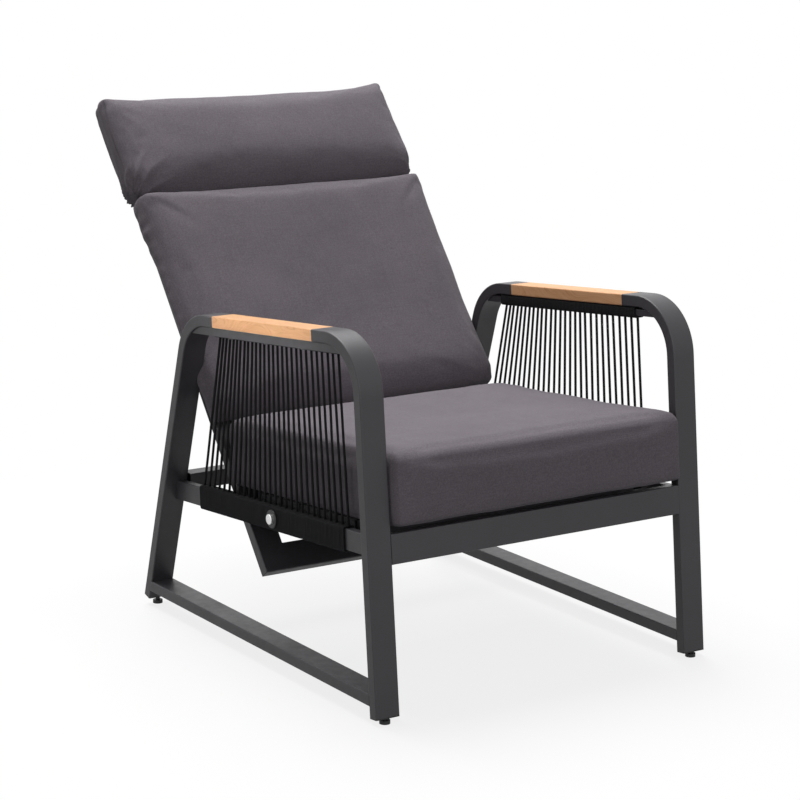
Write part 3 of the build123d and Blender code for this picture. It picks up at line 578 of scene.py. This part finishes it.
def rope_places():
    """Places of the cords on the upper and on the lower rail, rear to front."""
    top_run = UPPER_BAND[1] - UPPER_BAND[0] - 2 * TOP_MARGIN
    bottom_run = LOWER_BAND[1] - LOWER_BAND[0] - 2 * BOTTOM_MARGIN
    gaps = ROPE_COUNT - 1
    growth = (top_run - REAR_GAP * gaps) * 2 / gaps**2
    found = []
    for i in range(ROPE_COUNT):
        top = UPPER_BAND[1] - TOP_MARGIN - REAR_GAP * i - growth * i * i / 2
        found.append((top, LOWER_BAND[1] - BOTTOM_MARGIN - bottom_run * i / gaps))
    return found


def cord_path(i, top, bottom, seed):
    """A cord between the rails, a little off its place and not quite straight."""
    drift_scale, drift_seed, drift = 0.9, 0.5, 0.0022
    sway_scale, sway_run, sway_height = 1.7, 3, 0.0007
    moved = drift * noise.noise(Vector((i * drift_scale, seed, drift_seed)))
    high = ARM.point(RAIL_X, top + moved, ARM_RAIL[1] + CORD_SEAT)
    low = DECK.point(RAIL_X, bottom - moved, CORD_SEAT)
    path = []
    for k in range(CORD_POINTS):
        share = k / (CORD_POINTS - 1)
        bend = noise.noise(Vector((i * sway_scale, share * sway_run, seed)))
        sway = sway_height * math.sin(math.pi * share) * bend
        path.append(high.lerp(low, share) + Vector((sway, sway, 0)))
    return path


def rope_panel(side, name, node, seed):
    bands = [
        winding(ARM, ARM_RAIL, UPPER_BAND, seed),
        winding(DECK, DECK_RAIL, LOWER_BAND, seed + LOWER_SEED_STEP),
    ]
    cords = [cord_path(i, top, bottom, seed) for i, (top, bottom) in enumerate(rope_places())]
    mesh = tube_mesh([(bands, ROPE), (cords, CORD)], ROPE_SIDES)
    if side < 0:
        mesh.transform(Matrix.Scale(-1, 4, Vector((1, 0, 0))))
        mesh.flip_normals()
    made = new_object(name, mesh)
    mesh.materials.append(FINISHES["rope"])
    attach(made, "chair_frame")
    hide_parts(node)


rope_panel(1, "rope_side_left", "rope_panel_left", seed=1.3)
rope_panel(-1, "rope_side_right", "rope_panel_right", seed=7.9)


# Cushions

# Each pad is made in its plane's axes: x across, s along and n out
ACROSS, ALONG, OUT = 0, 1, 2
SPLIT_LEVELS = 7
# Cloth: size of the remeshed faces, air pressure and the frames that it runs
VOXEL = 0.007
PRESSURE = 1.0
CLOTH_FRAMES = 20


def round_edge(points, size, first, second, radius):
    """Round one edge of a box; first and second are an axis and its side each."""
    (i, side_i), (j, side_j) = first, second
    a = side_i * points[:, i] - (size[i] - radius)
    b = side_j * points[:, j] - (size[j] - radius)
    inside = (a > 0) & (b > 0)
    shrink = np.ones(len(points))
    shrink[inside] = np.maximum(a, b)[inside] / np.hypot(a, b)[inside]
    points[:, i] = np.where(inside, side_i * (size[i] - radius + a * shrink), points[:, i])
    points[:, j] = np.where(inside, side_j * (size[j] - radius + b * shrink), points[:, j])


def edge_radii(side_top, side_floor, low_top, high_top, low_floor, high_floor, low_side, high_side):
    """Radii of a pad's edges, as (axis, side, axis, side, radius), in the order of their rounding.

    Side is the left and right face, low and high are the faces at the ends of its length, and
    top and floor are the faces that look out of its plane and into it.
    """
    return [
        (ACROSS, -1, OUT, 1, side_top),
        (ACROSS, 1, OUT, 1, side_top),
        (ACROSS, -1, OUT, -1, side_floor),
        (ACROSS, 1, OUT, -1, side_floor),
        (ALONG, -1, OUT, 1, low_top),
        (ALONG, 1, OUT, 1, high_top),
        (ALONG, -1, OUT, -1, low_floor),
        (ALONG, 1, OUT, -1, high_floor),
        (ACROSS, -1, ALONG, -1, low_side),
        (ACROSS, 1, ALONG, -1, low_side),
        (ACROSS, -1, ALONG, 1, high_side),
        (ACROSS, 1, ALONG, 1, high_side),
    ]


def soft_box(name, half, span, depth, radii):
    """A finely divided box with round edges, in a plane's own axes."""
    work = bmesh.new()
    bmesh.ops.create_cube(work, size=2.0)
    mesh = bpy.data.meshes.new(name)
    work.to_mesh(mesh)
    work.free()
    made = new_object(name, mesh)
    subdivide(made, SPLIT_LEVELS, "SIMPLE")
    size = np.array([half, (span[1] - span[0]) / 2, (depth[1] - depth[0]) / 2])
    centre = np.array([0, (span[1] + span[0]) / 2, (depth[1] + depth[0]) / 2])
    points = get_points(made) * size
    for i, side_i, j, side_j, radius in radii:
        round_edge(points, size, (i, side_i), (j, side_j), radius)
    set_points(made, points + centre)
    return made


def cloth_puff(target, cap, held):
    """Swell the pad under air pressure; what lies below held stays, and no point moves past cap."""
    remesh = target.modifiers.new("remesh", "REMESH")
    remesh.mode = "VOXEL"
    remesh.voxel_size = VOXEL
    apply_modifiers(target)
    rest = get_points(target)
    pins = target.vertex_groups.new(name="pins")
    pins.add([int(i) for i in np.flatnonzero(rest[:, OUT] < held)], 1.0, "REPLACE")
    cloth = target.modifiers.new("cloth", "CLOTH")
    settings = cloth.settings
    settings.vertex_group_mass = "pins"
    settings.quality = 5
    settings.mass = 0.3
    settings.tension_stiffness = 15
    settings.compression_stiffness = 15
    settings.shear_stiffness = 5
    settings.bending_stiffness = 0.5
    settings.use_pressure = True
    settings.uniform_pressure_force = PRESSURE
    settings.effector_weights.gravity = 0
    cloth.point_cache.frame_start = 1
    cloth.point_cache.frame_end = CLOTH_FRAMES
    for number in range(1, CLOTH_FRAMES + 1):
        scene.frame_set(number)
    graph = bpy.context.evaluated_depsgraph_get()
    swollen = target.evaluated_get(graph).to_mesh()
    flat = np.empty(len(swollen.vertices) * 3)
    swollen.vertices.foreach_get("co", flat)
    moved = flat.reshape(-1, 3)
    target.modifiers.remove(cloth)
    scene.frame_set(1)
    shift = moved - rest
    length = np.linalg.norm(shift, axis=1)
    # A tiny length keeps still points from a division by zero
    tiny = 1e-9
    shift *= (cap * np.tanh(length / cap) / np.maximum(length, tiny))[:, None]
    set_points(target, rest + shift)


def bell(value, middle, width):
    return np.exp(-(((value - middle) / width) ** 2))


def ease(value, low, high):
    """From 0 at low to 1 at high, flat at both ends."""
    share = np.clip((value - low) / (high - low), 0, 1)
    return share * share * (3 - 2 * share)


def share_of(value, ends):
    """How far a value is between two ends, from 0 to 1."""
    return np.clip((value - ends[0]) / (ends[1] - ends[0]), 0, 1)


def smooth_noise(points, scale, seed):
    return np.array([
        noise.noise(Vector((p[0] * scale + seed, p[1] * scale, p[2] * scale))) for p in points
    ])


def rolling(points, broad, fine):
    """Shallow rolls of the cloth; broad and fine are a noise's scale, seed and height each."""
    rolls = [smooth_noise(points, scale, seed) * height for scale, seed, height in (broad, fine)]
    return rolls[0] + rolls[1]


def widen(points, half, span, depth, reach_share=0.998, fade=0.02):
    """Bring the sides back out to the measured half width, which the cloth's pull takes in."""
    x, s, n = points.T
    band = (s > span[0]) & (s < span[1]) & (n > depth[0]) & (n < depth[1])
    reached = np.quantile(np.abs(x[band]), reach_share)
    points[:, ACROSS] = x * (1 + (half / reached - 1) * ease(n, depth[0] - fade, depth[0]))
    return points


def dress(target, axes, body, node, seam_values):
    """Give a cushion its cloth, its place in the row's frame and its body."""
    points = get_points(target)
    mesh = target.data
    local = mesh.attributes.new("weave", "FLOAT_VECTOR", "POINT")
    local.data.foreach_set("vector", points.astype(np.float32).ravel())
    seam = mesh.attributes.new("seam", "FLOAT", "POINT")
    seam.data.foreach_set("value", np.asarray(seam_values, np.float32))
    mesh.transform(axes.matrix())
    mesh.polygons.foreach_set("use_smooth", [True] * len(mesh.polygons))
    mesh.materials.clear()
    mesh.materials.append(FINISHES["cushion_fabric"])
    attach(target, body)
    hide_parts(node)


def seat_pad():
    half, span, depth = 0.293, (0.0125, 0.566), (0.0118, 0.1345)
    # The top falls towards the rear end, and the floor rises towards the front
    rear_drop, rear_from, rear_run = 0.010, 0.87, 0.13
    front_lift, front_run = 0.0048, 0.12
    lowest = 0.0097
    seam_place, seam_width, seam_tone = 0.02, 0.0012, 0.5
    pad = soft_box("seat_pad", half, span, depth, edge_radii(
        side_top=0.011, side_floor=0.008, low_top=0.017, high_top=0.02,
        low_floor=0.009, high_floor=0.01, low_side=0.006, high_side=0.02,
    ))
    x, s, n = get_points(pad).T
    along = share_of(s, span)
    rise = share_of(n, depth)
    n = n - rise * rear_drop * np.clip(along - rear_from, 0, 1) / rear_run
    n = n + (1 - rise) * front_lift * np.clip(1 - along / front_run, 0, 1)
    set_points(pad, np.stack([x, s, n], 1))
    cloth_puff(pad, cap=0.004, held=0.02)
    subdivide(pad, 1, "CATMULL_CLARK")
    points = get_points(pad)
    way = vertex_normals(pad)
    roll = rolling(points, broad=(11.0, 3.0, 0.0011), fine=(31.0, 9.0, 0.0004))
    points += way * roll[:, None]
    points = widen(points, half=0.2948, span=(0.05, 0.5), depth=(0.03, 0.11))
    points[:, OUT] = np.maximum(points[:, OUT], lowest)
    set_points(pad, points)
    seam = bell(points[:, OUT], seam_place, seam_width) * seam_tone
    dress(pad, DECK, "chair_frame", "seat_cushion", seam)
    # Upright, the back pad presses it down at the rear
    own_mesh(pad)


def back_pad():
    half, span, depth = 0.306, (0.149, 0.606), (0.0128, 0.058)
    # The front swells in the middle and at the low end
    crown_height, low_height, low_run = 0.008, 0.005, 0.35
    # A lip at each side reaches back round the stile, from one distance across to another
    lip_start, lip_end, lip_drop = 0.291, 0.296, 0.019
    # The rear stands further in at the low end than at the high one
    low_inset, inset_loss, loss_start, loss_end = 0.0162, 0.0132, 0.5, 0.97
    # The sides draw in towards the low end
    draw_place, draw_run, draw_share, draw_depth = 0.14, 0.14, 0.012, 0.02
    # Puckers along the side seam, drawn out across it: place and width in front and at the rear
    front_pucker, rear_pucker = (0.022, 0.016), (0.0, 0.012)
    pucker_scale, pucker_seed, pucker_height = 62.0, 5.0, 0.0026
    across_stretch, out_stretch, rear_share, side_from = 0.2, 0.3, 0.35, 0.9
    # The floor lies on the straps, but for the lip
    strap_reach, strap_top, lip_floor = 0.29, 0.0143, -0.009
    seam_place, seam_width, seam_tone = -0.002, 0.0014, 0.6
    pad = soft_box("back_pad", half, span, depth, edge_radii(
        side_top=0.029, side_floor=0.002, low_top=0.03, high_top=0.013,
        low_floor=0.003, high_floor=0.003, low_side=0.01, high_side=0.008,
    ))
    x, s, n = get_points(pad).T
    along = share_of(s, span)
    across = np.clip(1 - (x / half) ** 2, 0, 1)
    rise = share_of(n, depth)
    crown = across**0.5 * np.clip(1 - (2 * along - 1) ** 8, 0, 1)
    lip = ease(np.abs(x), lip_start, lip_end) * (1 - rise) ** 2
    swell = crown_height * crown + low_height * np.clip(1 - along / low_run, 0, 1)
    n = n + rise * swell - lip_drop * lip
    inward = low_inset - inset_loss * ease(along, loss_start, loss_end)
    x = x * (1 - inward / half * (1 - rise) ** 2)
    set_points(pad, np.stack([x, s, n], 1))
    cloth_puff(pad, cap=0.006, held=0.016)
    subdivide(pad, 1, "CATMULL_CLARK")
    points = widen(get_points(pad), half=0.3085, span=(0.3, 0.56), depth=(0.02, 0.045))
    low = np.clip(1 - (points[:, ALONG] - draw_place) / draw_run, 0, 1)
    points[:, ACROSS] *= 1 - draw_share * low * ease(points[:, OUT], 0.0, draw_depth)
    way = vertex_normals(pad)
    x, s, n = points.T
    side = np.abs(x) / half
    near_seam = bell(n, *front_pucker) + rear_share * bell(n, *rear_pucker)
    near_seam = near_seam * (side > side_from)
    stretch = np.stack([x * across_stretch, s, n * out_stretch], 1)
    pucker = smooth_noise(stretch, pucker_scale, pucker_seed) * pucker_height * near_seam
    roll = rolling(points, broad=(9.0, 4.0, 0.0015), fine=(27.0, 2.0, 0.0005))
    points = points + way * (pucker + roll)[:, None]
    floor = np.where(np.abs(points[:, ACROSS]) < strap_reach, strap_top, lip_floor)
    points[:, OUT] = np.maximum(points[:, OUT], floor)
    set_points(pad, points)
    seam = bell(points[:, OUT], seam_place, seam_width) * (side > side_from) * seam_tone
    dress(pad, BACK, "back", "back_cushion", seam)
    # Upright, the arms' rope rails press the pad's sides in
    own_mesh(pad)


def gathers(points, corner, count, reach, height):
    """Creases that fan out from a corner over the cloth near it, and fade in away from it."""
    fade_start, fade_end = 0.008, 0.032
    out_share, wander_scale, wander_seed, wander = 0.6, 30.0, 1.0, 0.6
    x, s, n = (points - np.array(corner)).T
    far = np.sqrt(x * x + s * s + n * n)
    turn = np.arctan2(s, np.abs(x) + np.abs(n) * out_share)
    astray = smooth_noise(points, wander_scale, wander_seed) * wander
    wave = 1 - 2 * np.abs(np.sin(turn * count / 2 + astray))
    return height * wave * ease(far, fade_start, fade_end) * np.exp(-((far / reach) ** 2))


def head_pad():
    half, span, depth = 0.306, (0.602, 0.82), (-0.0335, 0.0595)
    # The front falls towards the high end and swells in the middle
    high_drop, crown_height = 0.016, 0.011
    # The high corners stand out as ears, the right one less
    ear_rise, ear_width_share, right_ear_share = 0.01, 0.025, 0.3
    # The ends of the high and of the low edge rise, and the rear stands further in
    high_end_rise, low_end_rise, rear_inset_share = 0.003, 0.005, 0.02
    # The sides draw in towards the low end
    low_place, low_run, low_inset_share = 0.6, 0.045, 0.05
    # The seam round each side runs forward as it goes up
    seam_start, seam_climb, seam_run, seam_from = 0.02, 0.008, 0.22, 0.296
    seam_width, seam_tone = 0.0014, 0.6
    pad = soft_box("head_pad", half, span, depth, edge_radii(
        side_top=0.034, side_floor=0.02, low_top=0.055, high_top=0.036,
        low_floor=0.02, high_floor=0.03, low_side=0.012, high_side=0.012,
    ))
    x, s, n = get_points(pad).T
    along = share_of(s, span)
    rise = share_of(n, depth)
    end = np.abs(x / half)
    n = n - rise * high_drop * along
    n = n + rise * crown_height * np.clip(1 - end**2, 0, 1) ** 0.6 * np.sin(math.pi * along) ** 0.8
    ear = along**3 * end**7 * np.where(x > 0, 1.0, right_ear_share)
    high_rise = high_end_rise * along**2 * end**2
    low_rise = low_end_rise * (1 - along) ** 3 * end**4
    s = s + ear_rise * ear + high_rise + low_rise
    x = x * (1 + ear_width_share * ear - rear_inset_share * (1 - rise) ** 2)
    set_points(pad, np.stack([x, s, n], 1))
    cloth_puff(pad, cap=0.006, held=-0.022)
    subdivide(pad, 1, "CATMULL_CLARK")
    points = widen(get_points(pad), half=0.3105, span=(0.64, 0.76), depth=(0.015, 0.04))
    low = np.clip(1 - (points[:, ALONG] - low_place) / low_run, 0, 1)
    points[:, ACROSS] *= 1 - low_inset_share * low**1.5
    way = vertex_normals(pad)
    lift = gathers(points, corner=(-0.303, 0.6, -0.004), count=21, reach=0.07, height=0.005)
    lift += gathers(points, corner=(0.3, 0.612, 0.018), count=13, reach=0.04, height=0.0026)
    lift += rolling(points, broad=(10.0, 6.0, 0.0016), fine=(29.0, 2.0, 0.0005))
    points = points + way * lift[:, None]
    set_points(pad, points)
    middle = seam_start + seam_climb * (points[:, ALONG] - low_place) / seam_run
    at_side = np.abs(points[:, ACROSS]) > seam_from
    seam = bell(points[:, OUT], middle, seam_width) * at_side * seam_tone
    dress(pad, BACK, "back", "headrest", seam)


seat_pad()
back_pad()
head_pad()


# Studio: a pale floor, a large soft light above, and weak ones in front, at the side and at the arm

WHITE = (1, 1, 1, 1)
FLOOR_HALF = 40
FLOOR_GREY = (0.13, 0.13, 0.13)
# How much of the white floor shows in glossy reflections
GLOSSY_SHARE = 0.65
# Distances at which the shown floor starts and ends its fade to plain white, and how much of that
# it has before the fade
FADE_START = 0.6
FADE_END = 1.3
FADE_FIRST_SHARE = 0.82


def make_floor():
    """A floor that the camera sees as white with soft shadows, and that lights the chair as grey."""
    far = FLOOR_HALF
    corners = [(-far, -far, 0), (far, -far, 0), (far, far, 0), (-far, far, 0)]
    mesh = bpy.data.meshes.new("floor")
    mesh.from_pydata(corners, [], [(0, 1, 2, 3)])
    floor = new_object("floor", mesh)
    made = Shader("studio_floor", FLOOR_GREY, roughness=0.8)
    path = made.node("LightPath")
    glossy = made.math("MULTIPLY", path.outputs["Is Glossy Ray"], GLOSSY_SHARE)
    seen = made.math("ADD", path.outputs["Is Camera Ray"], glossy)
    pale = made.node("BsdfDiffuse", {"Color": WHITE})
    white = made.node("Emission", {"Color": WHITE, "Strength": 1.0})
    reach = made.node("VectorMath", {0: made.place()}, operation="LENGTH").outputs["Value"]
    fade = made.node(
        "MapRange",
        {0: reach, 1: FADE_START, 2: FADE_END, 3: FADE_FIRST_SHARE, 4: 1.0},
        interpolation_type="SMOOTHSTEP",
    ).outputs[0]
    shown = made.node("MixShader", {0: fade, 1: pale.outputs[0], 2: white.outputs[0]})
    mix = made.node("MixShader", {0: seen, 1: made.bsdf.outputs[0], 2: shown.outputs[0]})
    made.link(mix.outputs[0], made.tree.nodes["Material Output"].inputs["Surface"])
    mesh.materials.append(made.material)


def make_world(tint=(0.97, 0.98, 1.0, 1), strength=0.12):
    """Weak light from all round, which the camera and all reflections see as plain white."""
    world = bpy.data.worlds.new("studio")
    scene.world = world
    world.use_nodes = True
    tree = world.node_tree
    light = tree.nodes["Background"]
    light.inputs["Color"].default_value = tint
    light.inputs["Strength"].default_value = strength
    white = tree.nodes.new("ShaderNodeBackground")
    white.inputs["Color"].default_value = WHITE
    white.inputs["Strength"].default_value = 1.0
    path = tree.nodes.new("ShaderNodeLightPath")
    mix = tree.nodes.new("ShaderNodeMixShader")
    seen = path.outputs["Is Camera Ray"]
    for name in ("Is Glossy Ray", "Is Transmission Ray"):
        add = tree.nodes.new("ShaderNodeMath")
        add.operation = "ADD"
        add.use_clamp = True
        tree.links.new(seen, add.inputs[0])
        tree.links.new(path.outputs[name], add.inputs[1])
        seen = add.outputs[0]
    tree.links.new(seen, mix.inputs[0])
    tree.links.new(light.outputs[0], mix.inputs[1])
    tree.links.new(white.outputs[0], mix.inputs[2])
    tree.links.new(mix.outputs[0], tree.nodes["World Output"].inputs["Surface"])


def make_lamp(name, place, aim, size, watts, spread=180):
    """An area light; spread is the angle of its beam in degrees."""
    data = bpy.data.lights.new(name, "AREA")
    data.shape = "RECTANGLE"
    data.size, data.size_y = size
    data.energy = watts
    data.spread = math.radians(spread)
    lamp = new_object(name, data)
    lamp.location = place
    run = Vector(aim) - Vector(place)
    lamp.rotation_euler = run.to_track_quat("-Z", "Y").to_euler()


make_floor()
make_world()
make_lamp("top_light", place=(0.3, 1.8, 5.0), aim=(0, 0, 0.4), size=(3.8, 3.8), watts=310)
make_lamp("front_light", place=(-0.6, -3.6, 1.7), aim=(0, 0, 0.4), size=(2.6, 2.0), watts=24)
make_lamp("side_light", place=(-2.8, -0.9, 1.5), aim=(0, 0, 0.5), size=(1.2, 1.2), watts=6)
make_lamp(
    "arm_light",
    place=(-1.6, -0.157, 0.583),
    aim=(0, -0.157, 0.583),
    size=(0.34, 0.04),
    watts=0.07,
    spread=7,
)
